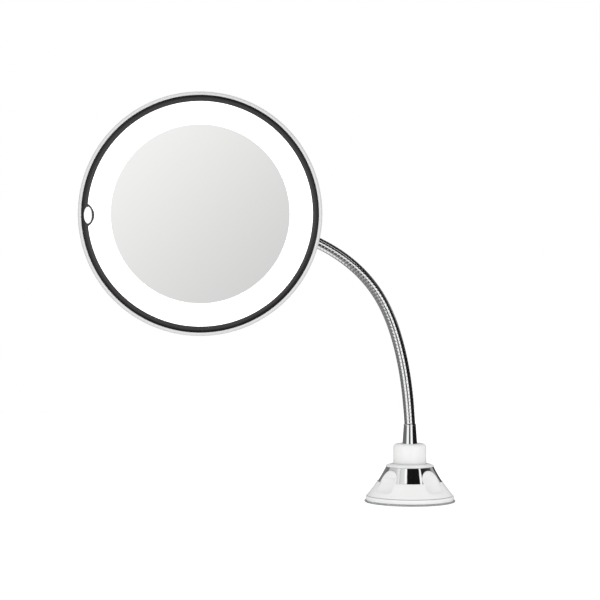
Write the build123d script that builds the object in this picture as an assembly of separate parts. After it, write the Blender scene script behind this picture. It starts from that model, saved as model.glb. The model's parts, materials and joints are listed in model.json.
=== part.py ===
"""Flexible-neck shaving mirror: lit magnifying mirror, ball joint, metal gooseneck and suction base.

Millimetres, +Z up. The origin is the centre of the suction cup's sealing face, so the base stands on Z = 0.
The mirror looks along -Y. The neck rises from the base, leans over towards -X and then turns forward
to the back of the head.
"""

import math
import os

from build123d import *

# ---------------------------------------------------------------- driving dimensions
# shared clearances
SLIP = 0.10  # radial clearance of parts that turn or slide in each other
SEAM = 0.30  # open seam between neighbouring covers
NEST = 0.15  # gap round parts that drop into a seat

# suction base
CUP_R = 35.4  # sealing lip
CUP_LIP_W = 4.4  # width of the flat sealing face
CUP_EDGE_T = 1.6  # cup thickness under the housing's foot
CUP_DOME_Z = 4.4  # top of the cup beside its boss
CUP_BOSS_R = 10.5
CUP_BOSS_Z = 8.5
HOUSING_R = 34.4
HOUSING_TOP_Z = 4.8
HOUSING_WALL = 3.9  # width of the housing's foot
HUB_WALL = 6.9
CONE_WALL = 2.0  # housing web under the knob
KNOB_FOOT_R = 33.5
KNOB_MID = (25.2, 16.4)  # radius and height of the knob's waist
KNOB_TOP_Z = 27.6
KNOB_WALL = 2.6
WINDOW_Z = 15.9  # floor of the four chrome windows
LOBE_TOP_Z = 25.2
LOBE_HALF_W = 8.4
LOBES = 4
KNOB_AT = -4.0  # the knob's turn at rest, degrees
DISH_DEPTH = 1.7
DISH_R = 26.0
DISH_Z = 14.8
DISH_FLOOR_Z = 8.6
DISH_FLARE = 1.5  # how much wider the dish is at its floor than at its shoulders
DISH_MARGIN = 0.7
CHROME_SET_BACK = 0.6
CHROME_WALL = 1.4
CHROME_TUCK = 1.5  # how far the chrome cone reaches behind the knob's lip
SHOULDER_T = 2.0
SLEEVE_WALL = 2.9
SLEEVE_COVER = 2.7  # from the sleeve out to the knob's top edge
STUD_R = 6.0
STUD_FLANGE_R = 8.0
STUD_FLANGE_T = 1.8
STUD_THREAD_R = 3.0
PIN_R = 1.5
PIN_Z = 19.0
LOCK_LIFT = 2.5  # how far the twist lock pulls the stud up
LOCK_TURN = 90.0
CAP_R = 12.95
CAP_H = 15.6
CAP_FILLET = 3.0

# gooseneck
NECK_R = 4.25
NECK_BORE_R = 2.0
LINK_L = 20.5
LINK_RIM = 1.6  # how far a link's socket end stops short of the next hinge
BALL_GAP = 0.15
LEAN = [4, 7.5, 12, 17, 25.5, 37, 48.5, 58.5, 67, 74, 80, 84, 86]  # degrees from upright, towards -X
YAW = [0, 0, 0, 0, 0, 0, 0, 0, 5, 15, 28, 42, 53]  # degrees towards -Y
FERRULE_H = 15.5
FERRULE_FOOT_R = 5.75
FERRULE_TOP_R = 4.75
END_FERRULE_R = 5.2
END_FERRULE_L = 15.0

# ball joint
BALL_R = 9.0
STEM_R = 2.8
STEM_L = 32.0  # last hinge to ball centre
STEM_FLANGE_R = 4.0
STEM_FLANGE_T = 1.5
SEAT_T = 1.8
SEAT_ANGLE = 58.0
LIP_ANGLE = 68.0  # polar angle of the collar's lip from the rear
MOUTH_ANGLE = 52.0
RING_T = 1.5  # friction ring between the ball and the collar
RING_H = 1.7
SOCKET_WALL = 2.5
SOCKET_FLANGE_R = 23.0
SOCKET_FLANGE_T = 2.0
COLLAR_WALL = 2.6
COLLAR_LIP_Z = -6.5
COLLAR_FLUTES = 24

# head; heights run from the ball centre towards the front
HEAD_R = 89.0
SHELL_BACK = 6.0
HEAD_DEPTH = 25.0
SHELL_WALL = 2.2
SHELL_EDGE_R = 20.0  # radius of the shell's rolled edge
RIM_LIP_W = 2.4
RIM_H = 7.0  # visible height of the front rim's side
RIM_LAP = 3.7  # how far the rim reaches back inside the shell
BEZEL_W = 4.3
BEZEL_T = 2.0
BEZEL_SET_BACK = 0.6
MIRROR_R = 65.7
MIRROR_T = 2.0
MIRROR_CURVE_R = 580.0  # concave face that gives about tenfold magnification
MIRROR_SET_BACK = 2.0  # mirror's edge behind the rim's front
DIFFUSER_T = 2.9
DIFFUSER_FLANGE_T = 1.0
TRAY_WALL = 1.3
TRAY_PLATE_T = 1.6
TROUGH_DEPTH = 6.3
PAD_INSET = 2.7  # pad's outer edge in from the mirror's
PAD_W = 13.0
BOARD_T = 1.2
BOARD_W = 14.4
LED_COUNT = 28
LED_SIZE = (3.5, 2.8, 0.7)

# power button
BUTTON_W = 5.8
BUTTON_H = 12.2
BUTTON_TRAVEL = 1.0
BUTTON_FROM_EDGE = 7.4  # button centre in from the head's edge
BUTTON_DROP = 1.0  # button centre below the head's middle
BUTTON_RIM = 1.5  # width of the bezel beside the button
EYE_R = 9.6  # radius of the bezel's eye-shaped swelling round the button
SWITCH_SIZE = (5.2, 6.0, 3.6)
PLUNGER_R = 1.5

# battery bay, three AAA cells
CELL_R = 5.25
CELL_L = 44.5
CELL_NUB = (1.9, 0.8)  # radius, height
CELL_PITCH = 11.0
CELLS = 3
BAY_Y = -42.0  # middle of the bay, below the head's centre
BAY_HALF_L = 24.9
BAY_END_WALL = 2.5
BAY_WALL = 1.5
BAY_CORNER_WALL = 1.1
DOOR_T = 1.8
DOOR_BARREL_R = 1.9
DOOR_PIN_R = 0.9
DOOR_PIN_L = 1.6
CONTACT_T = 0.4
SPRING_R = 3.2
SPRING_WIRE_R = 0.3
WIRE_R = 0.65

# screws
SHELL_SCREW_AT = 43.8  # x and y of the shell's four corner screws
SOCKET_SCREW_AT_R = 19.7
SCREW_R = 1.25
SCREW_HEAD_R = 2.3
SCREW_HEAD_T = 1.5
BOSS_R = 3.2


# ---------------------------------------------------------------- helpers
def disc(r, z0, z1):
    return Pos(0, 0, z0) * Cylinder(r, z1 - z0, align=(Align.CENTER, Align.CENTER, Align.MIN))


def ring(r_out, r_in, z0, z1):
    return disc(r_out, z0, z1) - disc(r_in, z0 - 1, z1 + 1)


def block(x0, x1, y0, y1, z0, z1):
    return Pos((x0 + x1) / 2, (y0 + y1) / 2, (z0 + z1) / 2) * Box(x1 - x0, y1 - y0, z1 - z0)


def turned(*edges):
    """A solid of revolution about Z from connected edges drawn as (radius, height)."""
    return revolve(make_face(Plane.XZ * Curve(children=list(edges))), Axis.Z)


def turned_polygon(*points):
    return revolve(make_face(Plane.XZ * Polyline(*points, close=True)), Axis.Z)


def polar(r, degrees):
    return r * math.cos(math.radians(degrees)), r * math.sin(math.radians(degrees))


def around(count, part, start=0.0):
    """Copies of part, evenly spaced about Z."""
    return [Rot(0, 0, start + i * 360 / count) * part for i in range(count)]


def x_rod(r, x0, x1, y, z):
    return Pos((x0 + x1) / 2, y, z) * (Rot(0, 90, 0) * Cylinder(r, x1 - x0))


def screw(length):
    """A pan-head screw with a cross recess; its head's seat is at Z = 0 and its shank runs up."""
    head = turned_polygon(
        (0, -SCREW_HEAD_T),
        (SCREW_HEAD_R * 0.7, -SCREW_HEAD_T),
        (SCREW_HEAD_R, -SCREW_HEAD_T * 0.4),
        (SCREW_HEAD_R, 0),
        (0, 0),
    )
    slot = Box(SCREW_HEAD_R * 1.2, 0.5, SCREW_HEAD_T)
    recess = Pos(0, 0, -SCREW_HEAD_T) * (slot + Rot(0, 0, 90) * slot)
    shank = turned_polygon((0, 0), (SCREW_R, 0), (SCREW_R, length - 1.5), (0.3, length), (0, length))
    return head + shank - recess


def write(name, shape):
    export_step(shape if isinstance(shape, Compound) else Compound(children=[shape]), f"parts/{name}.step")


# ---------------------------------------------------------------- heights and radii of the base
FOOT_Z = HOUSING_TOP_Z + SEAM
HUB_R = STUD_R + SLIP + HUB_WALL
SLEEVE_IN = HUB_R + SEAM
SLEEVE_OUT = SLEEVE_IN + SLEEVE_WALL
KNOB_TOP = (SLEEVE_OUT + SLEEVE_COVER, KNOB_TOP_Z)
SHOULDER_Z = KNOB_TOP_Z
CAP_Z = SHOULDER_Z + SHOULDER_T
CAP_TOP = CAP_Z + CAP_H
NECK_Z = CAP_TOP + FERRULE_H
STUD_TOP = CAP_TOP - 4.2
FLANGE_Z = CUP_DOME_Z - 1.0
HUB_FOOT_Z = CUP_BOSS_Z + LOCK_LIFT + 1.0
HUB_TOP = PIN_Z + LOCK_LIFT + PIN_R + 2.0
CAP_FOOT_Z = HUB_TOP + SEAM  # the cap reaches down inside the knob, so its lift opens no gap


def knob_face(inset, z0, z1):
    """The solid inside the knob's flared outer face, moved in by inset, from z0 to z1."""
    points = [(r - inset, z) for r, z in ((KNOB_FOOT_R, FOOT_Z), KNOB_MID, KNOB_TOP)]
    side = ThreePointArc(*points)
    body = turned(side, Polyline(points[2], (0, points[2][1]), (0, points[0][1]), points[0]))
    return body & disc(KNOB_FOOT_R + 1, z0, z1)


def lobe_prism(margin, floor, flare=0.0, corner=0.0):
    """A radial prism, at +X, with the outline of one lobe: two legs below, half an ellipse above."""
    half = LOBE_HALF_W - margin
    top = LOBE_TOP_Z - margin
    arch = EllipticalCenterArc((0, WINDOW_Z), half, top - WINDOW_Z, start_angle=0, arc_size=180)
    foot = half + flare
    legs = Polyline((-half, WINDOW_Z), (-foot, floor), (foot, floor), (half, WINDOW_Z))
    face = make_face(Curve(children=[arch, legs]))
    if corner:
        face = fillet(face.vertices().group_by(Axis.Y)[0], corner)
    return extrude(Plane.YZ * face, KNOB_FOOT_R + 5)


def at_lobes(part):
    return around(LOBES, part, 180 / LOBES + KNOB_AT)


# ---------------------------------------------------------------- base parts
def suction_cup():
    """Soft cup: flat sealing lip, shallow hollow underneath, and a boss moulded round the stud's flange."""
    hollow_z = CUP_DOME_Z - 2.4
    lip_in = CUP_R - CUP_LIP_W
    under = ThreePointArc((0, hollow_z), (lip_in * 0.62, hollow_z * 0.72), (lip_in, 0))
    top = Polyline(
        (lip_in, 0),
        (CUP_R, 0),
        (CUP_R, CUP_EDGE_T * 0.45),
        (CUP_R - 0.9, CUP_EDGE_T),
        (HOUSING_R - HOUSING_WALL - SEAM, CUP_EDGE_T),
        (CUP_BOSS_R + 3.5, CUP_DOME_Z),
        (CUP_BOSS_R, CUP_DOME_Z),
        (CUP_BOSS_R, CUP_BOSS_Z),
        (0, CUP_BOSS_Z),
        (0, hollow_z),
    )
    flange_pocket = disc(STUD_FLANGE_R + 0.05, FLANGE_Z, FLANGE_Z + STUD_FLANGE_T)
    shaft_pocket = disc(STUD_R + 0.05, FLANGE_Z, CUP_BOSS_Z + 1)
    return turned(under, top) - flange_pocket - shaft_pocket


def base_housing():
    """White rim that stands on the cup, with a coned web and the hub that guides the stud."""
    foot_in = HOUSING_R - HOUSING_WALL
    web_low = HUB_FOOT_Z - 1.0
    body = turned_polygon(
        (foot_in, CUP_EDGE_T),
        (HOUSING_R, CUP_EDGE_T),
        (HOUSING_R, HOUSING_TOP_Z - 0.5),
        (HOUSING_R - 0.5, HOUSING_TOP_Z),
        (foot_in, HOUSING_TOP_Z),
        (HUB_R, web_low + CONE_WALL),
        (HUB_R, HUB_TOP),
        (STUD_R + SLIP, HUB_TOP),
        (STUD_R + SLIP, HUB_FOOT_Z),
        (CUP_BOSS_R + 0.6, HUB_FOOT_Z),
        (CUP_BOSS_R + 0.6, web_low),
        (foot_in, HOUSING_TOP_Z - CONE_WALL),
    )
    pin_slot = block(-HUB_R - 1, HUB_R + 1, -PIN_R - SLIP, PIN_R + SLIP, PIN_Z, PIN_Z + LOCK_LIFT)
    ends = [x_rod(PIN_R + SLIP, -HUB_R - 1, HUB_R + 1, 0, z) for z in (PIN_Z, PIN_Z + LOCK_LIFT)]
    return body - pin_slot - ends


def lock_knob():
    """White skirt with four dished lobes; the chrome cone shows in the windows between them."""
    skirt = knob_face(0, FOOT_Z, WINDOW_Z)
    lobes = knob_face(0, WINDOW_Z, LOBE_TOP_Z) & (Part() + at_lobes(lobe_prism(0, WINDOW_Z - 1)))
    body = skirt + lobes - knob_face(KNOB_WALL, FOOT_Z - 1, LOBE_TOP_Z + 1)
    tuck = knob_face(CHROME_SET_BACK - NEST, WINDOW_Z - CHROME_TUCK - NEST, WINDOW_Z)
    tuck -= Part() + at_lobes(lobe_prism(-NEST, FOOT_Z))
    slope = math.degrees(math.atan2(KNOB_FOOT_R - KNOB_TOP[0], KNOB_TOP_Z - FOOT_Z))  # of the face's normal
    face_r = KNOB_MID[0] + (KNOB_MID[1] - DISH_Z) * math.tan(math.radians(slope))
    centre_r, up = polar(DISH_R - DISH_DEPTH, slope)
    rod = Rot(90, 0, 0) * Cylinder(DISH_R, 4 * LOBE_HALF_W)
    dish = Pos(face_r + centre_r, 0, DISH_Z + up) * rod
    dish &= lobe_prism(DISH_MARGIN, DISH_FLOOR_Z, DISH_FLARE, 3.0)
    return body - tuck - at_lobes(dish)


def chrome_cone():
    """Bright flared cone under the knob, cut away where the four lobes pass through it."""
    z0 = WINDOW_Z - CHROME_TUCK
    band = knob_face(CHROME_SET_BACK, z0, KNOB_TOP_Z)
    band -= knob_face(CHROME_SET_BACK + CHROME_WALL, z0 - 1, KNOB_TOP_Z + 1)
    return band - at_lobes(lobe_prism(-NEST, z0 - 1))


def shoulder_ring():
    r = KNOB_TOP[0]
    return turned_polygon(
        (CAP_R + SEAM, SHOULDER_Z),
        (r, SHOULDER_Z),
        (r, SHOULDER_Z + 0.3),
        (r - 0.4, SHOULDER_Z + 0.7),
        (r - 1.3, SHOULDER_Z + 1.1),
        (r - 3.0, CAP_Z - 0.3),
        (CAP_R + SEAM, CAP_Z),
    )


def cam_sleeve():
    """Sleeve in the knob whose two spiral slots lift the cross pin as the knob turns."""
    z0 = HUB_FOOT_Z + CONE_WALL - 1.0 + SEAM + 0.2
    body = ring(SLEEVE_OUT, SLEEVE_IN, z0, SHOULDER_Z)
    run_on = 8.0  # degrees the slot runs past each end of the travel
    pitch = LOCK_LIFT * 360 / LOCK_TURN
    mid_r = (SLEEVE_IN + SLEEVE_OUT) / 2
    height = pitch * (LOCK_TURN + 2 * run_on) / 360
    path = Helix(pitch, height, mid_r)
    start = Plane(origin=path @ 0, x_dir=(1, 0, 0), z_dir=path % 0)
    slot = sweep(start * Rectangle(SLEEVE_WALL + 3, 2 * (PIN_R + SLIP)), path=path, is_frenet=True)
    slot = Pos(0, 0, PIN_Z - pitch * run_on / 360) * (Rot(0, 0, -run_on) * slot)
    return body - slot - Rot(0, 0, 180) * slot


def pull_stud():
    """Plastic stud moulded into the cup, with the lock's cross pin through it and the neck screwed in on top."""
    body = disc(STUD_FLANGE_R, FLANGE_Z, FLANGE_Z + STUD_FLANGE_T) + disc(STUD_R, FLANGE_Z, STUD_TOP)
    thread_bore = disc(STUD_THREAD_R, PIN_Z + PIN_R + 4, STUD_TOP + 1)
    return body - thread_bore - x_rod(PIN_R, -STUD_R - 1, STUD_R + 1, 0, PIN_Z)


def cam_pin():
    return x_rod(PIN_R, -(SLEEVE_OUT - 0.2), SLEEVE_OUT - 0.2, 0, PIN_Z)


def neck_cap():
    body = fillet(disc(CAP_R, CAP_FOOT_Z, CAP_TOP).edges().group_by(Axis.Z)[-1], CAP_FILLET)
    body -= disc(STUD_R + SLIP, CAP_FOOT_Z - 1, STUD_TOP)
    return body - disc(STUD_THREAD_R + SLIP, CAP_Z, CAP_TOP + 1)


def lower_ferrule():
    """Tapered chrome sleeve; its threaded spigot goes down through the cap into the stud."""
    spigot_foot = STUD_TOP - 8.0
    bead = FERRULE_TOP_R + 0.15
    body = turned_polygon(
        (0, spigot_foot),
        (STUD_THREAD_R - 0.05, spigot_foot),
        (STUD_THREAD_R - 0.05, CAP_TOP),
        (FERRULE_FOOT_R, CAP_TOP),
        (FERRULE_TOP_R, NECK_Z - 1.6),
        (bead, NECK_Z - 1.4),
        (bead, NECK_Z - 0.7),
        (FERRULE_TOP_R, NECK_Z - 0.5),
        (0, NECK_Z - 0.5),
    )
    return body - Pos(0, 0, NECK_Z) * Sphere(NECK_R + BALL_GAP) - disc(NECK_BORE_R, CAP_TOP + 2, NECK_Z)


# ---------------------------------------------------------------- neck
def heading(lean, yaw):
    lean, yaw = math.radians(lean), math.radians(yaw)
    return Vector(-math.sin(lean) * math.cos(yaw), -math.sin(yaw), math.cos(lean) * math.cos(yaw))


def neck_hinges():
    """The hinge points, from the one in the lower ferrule to the one in the upper ferrule."""
    points = [Vector(0, 0, NECK_Z)]
    for lean, yaw in zip(LEAN[:-1], YAW[:-1]):
        points.append(points[-1] + heading(lean, yaw) * LINK_L)
    return points


def along(point, direction, part):
    """part, drawn along +Z from the origin, placed at point along direction."""
    return Plane(origin=point, z_dir=direction).location * part


def round_end(bore, r=NECK_R):
    """Profile edges of a ball end centred on the origin, from the bore's edge to the equator."""
    low = -math.sqrt(r * r - bore * bore)
    mid = polar(r, -45)
    return ThreePointArc((bore, low), mid, (r, 0))


def neck_link():
    """One length of the wound neck: a ball end below, a ball socket above and a bore through both."""
    socket = NECK_R + BALL_GAP
    rim_z = LINK_L - LINK_RIM
    rim_r = math.sqrt(socket**2 - LINK_RIM**2)
    deep_z = LINK_L - math.sqrt(socket**2 - NECK_BORE_R**2)
    x, y = polar(socket, -45)
    side = Polyline((NECK_R, 0), (NECK_R, rim_z), (rim_r, rim_z))
    cup = ThreePointArc((rim_r, rim_z), (x, LINK_L + y), (NECK_BORE_R, deep_z))
    low = -math.sqrt(NECK_R**2 - NECK_BORE_R**2)
    return turned(round_end(NECK_BORE_R), side, cup, Line((NECK_BORE_R, deep_z), (NECK_BORE_R, low)))


def upper_ferrule():
    step_z = 2.0
    low = -math.sqrt(NECK_R**2 - NECK_BORE_R**2)
    outline = Polyline(
        (NECK_R, 0),
        (NECK_R, step_z),
        (END_FERRULE_R - 0.3, step_z),
        (END_FERRULE_R, step_z + 0.4),
        (END_FERRULE_R, END_FERRULE_L - 1.0),
        (END_FERRULE_R - 0.8, END_FERRULE_L),
        (NECK_BORE_R, END_FERRULE_L),
        (NECK_BORE_R, low),
    )
    return turned(round_end(NECK_BORE_R), outline)


def ball_stud():
    """Ball with its stem, flange and the spigot pressed into the upper ferrule."""
    spigot = disc(NECK_BORE_R - 0.02, END_FERRULE_L - 8, END_FERRULE_L)
    flange = disc(STEM_FLANGE_R, END_FERRULE_L, END_FERRULE_L + STEM_FLANGE_T)
    stem = disc(STEM_R, END_FERRULE_L, STEM_L)
    return spigot + flange + stem + Pos(0, 0, STEM_L) * Sphere(BALL_R)


# ---------------------------------------------------------------- ball socket, about the ball centre
SEAT_IN = BALL_R + SLIP
SEAT_OUT = SEAT_IN + SEAT_T
CAVITY_R = SEAT_OUT + SLIP
BOSS_OUT = CAVITY_R + SOCKET_WALL
COLLAR_IN = BOSS_OUT + SLIP
COLLAR_OUT = COLLAR_IN + COLLAR_WALL
FLANGE_BACK = SHELL_BACK - SOCKET_FLANGE_T
COLLAR_FRONT = FLANGE_BACK - SEAM
COLLAR_STEP = -0.9
RING_R = SEAT_IN + RING_T


def ball_seat():
    """Nylon friction cup between the ball and the socket."""
    edge = 90 - SEAT_ANGLE
    half = 90 - SEAT_ANGLE / 2
    inner = ThreePointArc((0, SEAT_IN), polar(SEAT_IN, half), polar(SEAT_IN, edge))
    outer = ThreePointArc((0, SEAT_OUT), polar(SEAT_OUT, half), polar(SEAT_OUT, edge))
    ends = [Line(polar(SEAT_IN, edge), polar(SEAT_OUT, edge)), Line((0, SEAT_OUT), (0, SEAT_IN))]
    return turned(inner, ends[0], outer, ends[1])


def socket_screws_at():
    return [polar(SOCKET_SCREW_AT_R, a) for a in (90, 210, 330)]


def socket_base():
    """Flanged cup on the back of the head that holds the ball and its seat."""
    boss_foot = COLLAR_STEP + SEAM
    body = disc(BOSS_OUT, boss_foot, CAVITY_R + SOCKET_WALL)
    flange = disc(SOCKET_FLANGE_R, FLANGE_BACK, SHELL_BACK)
    body += chamfer(flange.edges().group_by(Axis.Z)[0], 0.6)
    body -= Sphere(CAVITY_R) & disc(CAVITY_R + 1, 0, CAVITY_R + 1)
    body -= disc(CAVITY_R, boss_foot - 1, 0)
    for x, y in socket_screws_at():
        body -= Pos(x, y, 0) * disc(SCREW_R + SLIP, FLANGE_BACK - 1, SHELL_BACK + 1)
        body -= Pos(x, y, 0) * disc(SCREW_HEAD_R + NEST, FLANGE_BACK - 1, SHELL_BACK - 1.0)
    return body


def ball_face(z0, z1):
    """Edge of a surface that fits the ball, between two heights."""
    return ThreePointArc(*[(math.sqrt(SEAT_IN**2 - z * z), z) for z in (z0, (z0 + z1) / 2, z1)])


def friction_ring():
    """Nylon ring that the collar presses against the back of the ball."""
    low, high = COLLAR_STEP - RING_H, COLLAR_STEP
    face = ball_face(low, high)
    return turned(face, Polyline(face @ 1, (RING_R, high), (RING_R, low), face @ 0))


def socket_collar():
    """Fluted nut that closes the socket behind the ball and sets how stiffly it turns."""
    lip = polar(SEAT_IN, -(90 - LIP_ANGLE))
    floor = COLLAR_STEP - RING_H - SLIP
    mouth_r = lip[0] + (lip[1] - COLLAR_LIP_Z) * math.tan(math.radians(MOUTH_ANGLE))
    face = ball_face(lip[1], floor)
    outline = Polyline(
        face @ 1,
        (RING_R + SLIP, floor),
        (RING_R + SLIP, COLLAR_STEP),
        (COLLAR_IN, COLLAR_STEP),
        (COLLAR_IN, COLLAR_FRONT),
        (COLLAR_OUT - 0.4, COLLAR_FRONT),
        (COLLAR_OUT, COLLAR_FRONT - 0.4),
        (COLLAR_OUT, COLLAR_LIP_Z + 1.2),
        (COLLAR_OUT - 1.2, COLLAR_LIP_Z),
        (mouth_r, COLLAR_LIP_Z),
        lip,
    )
    flute = Pos(COLLAR_OUT + 0.5, 0, 0) * disc(1.0, COLLAR_LIP_Z - 1, COLLAR_FRONT + 1)
    return turned(face, outline) - around(COLLAR_FLUTES, flute)


# ---------------------------------------------------------------- head, about the ball centre, +Z to the front
FRONT = SHELL_BACK + HEAD_DEPTH
SHELL_IN = SHELL_BACK + SHELL_WALL
SPLIT = FRONT - RIM_H
EDGE_AT = HEAD_R - 0.8 - SHELL_EDGE_R  # radius where the shell's rolled edge begins
RIM_IN = HEAD_R - RIM_LIP_W
BEZEL_OUT = RIM_IN - 0.2
BEZEL_IN = BEZEL_OUT - BEZEL_W
BEZEL_FRONT = FRONT - BEZEL_SET_BACK
BEZEL_BACK = BEZEL_FRONT - BEZEL_T
DIFFUSER_FRONT = BEZEL_BACK + 1.0
DIFFUSER_BACK = DIFFUSER_FRONT - DIFFUSER_T
DIFFUSER_OUT = BEZEL_OUT - 0.8
SHELF_Z = BEZEL_BACK - DIFFUSER_FLANGE_T - 0.1  # front of the tray flange that carries the diffuser
STEP_Z = SHELF_Z - 1.0  # the tray flange lies on the front rim's step here
MIRROR_EDGE_Z = FRONT - MIRROR_SET_BACK
MIRROR_SAG = MIRROR_CURVE_R - math.sqrt(MIRROR_CURVE_R**2 - MIRROR_R**2)
PAD_R = (MIRROR_R - PAD_INSET - PAD_W, MIRROR_R - PAD_INSET)
TROUGH_FLOOR = DIFFUSER_BACK - TROUGH_DEPTH
TROUGH_OUT = BEZEL_IN + 0.2
BAY_SIDE = CELLS * CELL_PITCH / 2 + 0.1
DOOR_END_Y = BAY_Y - BAY_SIDE
BAY_REACH = math.hypot(BAY_HALF_L, DOOR_END_Y) + BAY_CORNER_WALL + 0.4 + TRAY_WALL
TROUGH_IN = max(MIRROR_R + 0.8, BAY_REACH)  # the trough runs round both the mirror and the battery bay
PLATE_FRONT = MIRROR_EDGE_Z - MIRROR_SAG - MIRROR_T - 0.8
BOARD_OUT = TROUGH_OUT - 0.3  # the board keeps to the trough's outer wall, under the button
BOARD_IN = BOARD_OUT - BOARD_W
BOARD_TOP = TROUGH_FLOOR + BOARD_T
BUTTON_X = -(HEAD_R - BUTTON_FROM_EDGE)
EYE_X = -(HEAD_R - BUTTON_FROM_EDGE - BUTTON_W / 2 - BUTTON_RIM) - EYE_R
BUTTON_FOOT = BEZEL_BACK - 0.2
SWITCH_X = -(BOARD_OUT - SWITCH_SIZE[0] / 2)
SWITCH_TOP = BOARD_TOP + SWITCH_SIZE[2]
PLUNGER_TOP = SWITCH_TOP + BUTTON_TRAVEL + 0.3
BAY_FLOOR = PLATE_FRONT - TRAY_PLATE_T - 1.6
CELL_Z = BAY_FLOOR - 0.2 - CELL_R
HINGE_Y = BAY_Y + BAY_SIDE - 0.1
HINGE_Z = SHELL_BACK + DOOR_BARREL_R
DOOR_EDGE_Y = HINGE_Y + DOOR_BARREL_R + 0.25


def shell_curve(inset):
    """Edges of the shell's outside, moved in by inset: flat back, rolled edge, short straight side."""
    r = SHELL_EDGE_R - inset
    z = SHELL_BACK + inset
    centre = (EDGE_AT, SHELL_BACK + SHELL_EDGE_R)
    angle = math.degrees(math.asin((SPLIT - centre[1]) / r))
    end = (centre[0] + polar(r, angle)[0], SPLIT)
    mid = polar(r, (angle - 90) / 2)
    return (EDGE_AT, z), (centre[0] + mid[0], centre[1] + mid[1]), end


def shell_in_r(z):
    """Inside radius of the shell's rolled edge at a height."""
    return EDGE_AT + math.sqrt((SHELL_EDGE_R - SHELL_WALL) ** 2 - (SHELL_BACK + SHELL_EDGE_R - z) ** 2)


def rear_shell():
    """White dished back: rolled edge, battery bay, screw bosses and the socket's hole."""
    o0, o1, o2 = shell_curve(0)
    i0, i1, i2 = shell_curve(SHELL_WALL)
    hole = BOSS_OUT + NEST
    shell = turned(
        Line((hole, SHELL_BACK), o0),
        ThreePointArc(o0, o1, o2),
        Line(o2, i2),
        ThreePointArc(i2, i1, i0),
        Polyline(i0, (hole, SHELL_IN), (hole, SHELL_BACK)),
    )
    bay = block(
        -BAY_HALF_L - BAY_END_WALL,
        BAY_HALF_L + BAY_END_WALL,
        DOOR_END_Y - BAY_WALL,
        DOOR_EDGE_Y + BAY_WALL,
        SHELL_IN,
        BAY_FLOOR + 1.2,
    )
    bay &= disc(TROUGH_IN - TRAY_WALL - 0.4, SHELL_BACK, FRONT)
    shell += bay - disc(SOCKET_SCREW_AT_R, SHELL_BACK, FRONT)
    for x, y in shell_screws_at():
        shell += Pos(x, y, 0) * disc(BOSS_R, SHELL_IN, TRAY_BOSS_Z - 0.2)
    for x, y in socket_screws_at():
        shell += Pos(x, y, 0) * disc(BOSS_R, SHELL_IN, SHELL_IN + 6)
    shell -= block(-BAY_HALF_L, BAY_HALF_L, DOOR_END_Y, BAY_Y + BAY_SIDE, SHELL_BACK - 1, BAY_FLOOR)
    barrel_top = HINGE_Z + DOOR_BARREL_R + 0.4
    shell -= block(-BAY_HALF_L, BAY_HALF_L, BAY_Y, DOOR_EDGE_Y, SHELL_BACK - 1, barrel_top)
    pin_reach = BAY_HALF_L + DOOR_PIN_L + 0.3
    shell -= x_rod(DOOR_PIN_R + SLIP, -pin_reach, pin_reach, HINGE_Y, HINGE_Z)
    shell -= thumb_notch()
    for x, y in wire_holes():
        shell -= x_rod(WIRE_R + 0.2, x - 2 * BAY_END_WALL, x + BAY_END_WALL, y, CELL_Z + 3.6)
    for x, y in shell_screws_at():
        shell -= Pos(x, y, 0) * disc(SCREW_R + SLIP, SHELL_BACK - 1, TRAY_BOSS_Z)
        shell -= Pos(x, y, 0) * disc(SCREW_HEAD_R + NEST, SHELL_BACK - 1, SHELL_BACK + SCREW_HEAD_T)
    for x, y in socket_screws_at():
        shell -= Pos(x, y, 0) * disc(SCREW_R, SHELL_BACK - 1, SHELL_IN + 5)
    return shell


def thumb_notch():
    """Shallow scoop in the shell beside the door's free edge, where a thumbnail lifts it."""
    scoop = Pos(0, DOOR_END_Y + 1.5, SHELL_BACK - 5.5) * Sphere(7.0)
    return scoop & block(-8, 8, DOOR_END_Y - 8, DOOR_END_Y, 0, SHELL_IN - 0.8)


def shell_screws_at():
    return [(sx * SHELL_SCREW_AT, sy * SHELL_SCREW_AT) for sx in (1, -1) for sy in (1, -1)]


def wire_holes():
    return [(-BAY_HALF_L, BAY_Y), (-BAY_HALF_L, BAY_Y - CELL_PITCH)]


TRAY_BOSS_Z = PLATE_FRONT - TRAY_PLATE_T - 4.0


def front_rim():
    """White outer ring: rounded front lip, an inner step for the tray and a skirt inside the shell."""
    side_r = shell_curve(0)[2][0]
    skirt_in = TROUGH_OUT + TRAY_WALL + 0.2
    foot = SPLIT - RIM_LAP
    lip = ThreePointArc((HEAD_R, FRONT - 1.2), (HEAD_R - 0.35, FRONT - 0.35), (HEAD_R - 1.2, FRONT))
    outline = Polyline(
        (HEAD_R - 1.2, FRONT),
        (RIM_IN + 0.3, FRONT),
        (RIM_IN, FRONT - 0.3),
        (RIM_IN, STEP_Z),
        (skirt_in, STEP_Z),
        (skirt_in, foot),
        (shell_in_r(foot) - NEST, foot),
        (shell_in_r(SPLIT) - NEST, SPLIT + 0.2),
        (side_r, SPLIT + 0.2),
        (HEAD_R, FRONT - 1.2),
    )
    return turned(lip, outline)


def eye(r_extra):
    """Round swelling of the bezel about the button, as a tall prism."""
    return Pos(EYE_X, -BUTTON_DROP, 0) * disc(EYE_R + r_extra, BEZEL_BACK - 8, FRONT)


def button_prism(extra, z0, z1):
    oval = Ellipse(BUTTON_W / 2 + extra, BUTTON_H / 2 + extra)
    return extrude(Plane.XY.offset(z0) * (Pos(BUTTON_X, -BUTTON_DROP) * oval), z1 - z0)


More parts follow.
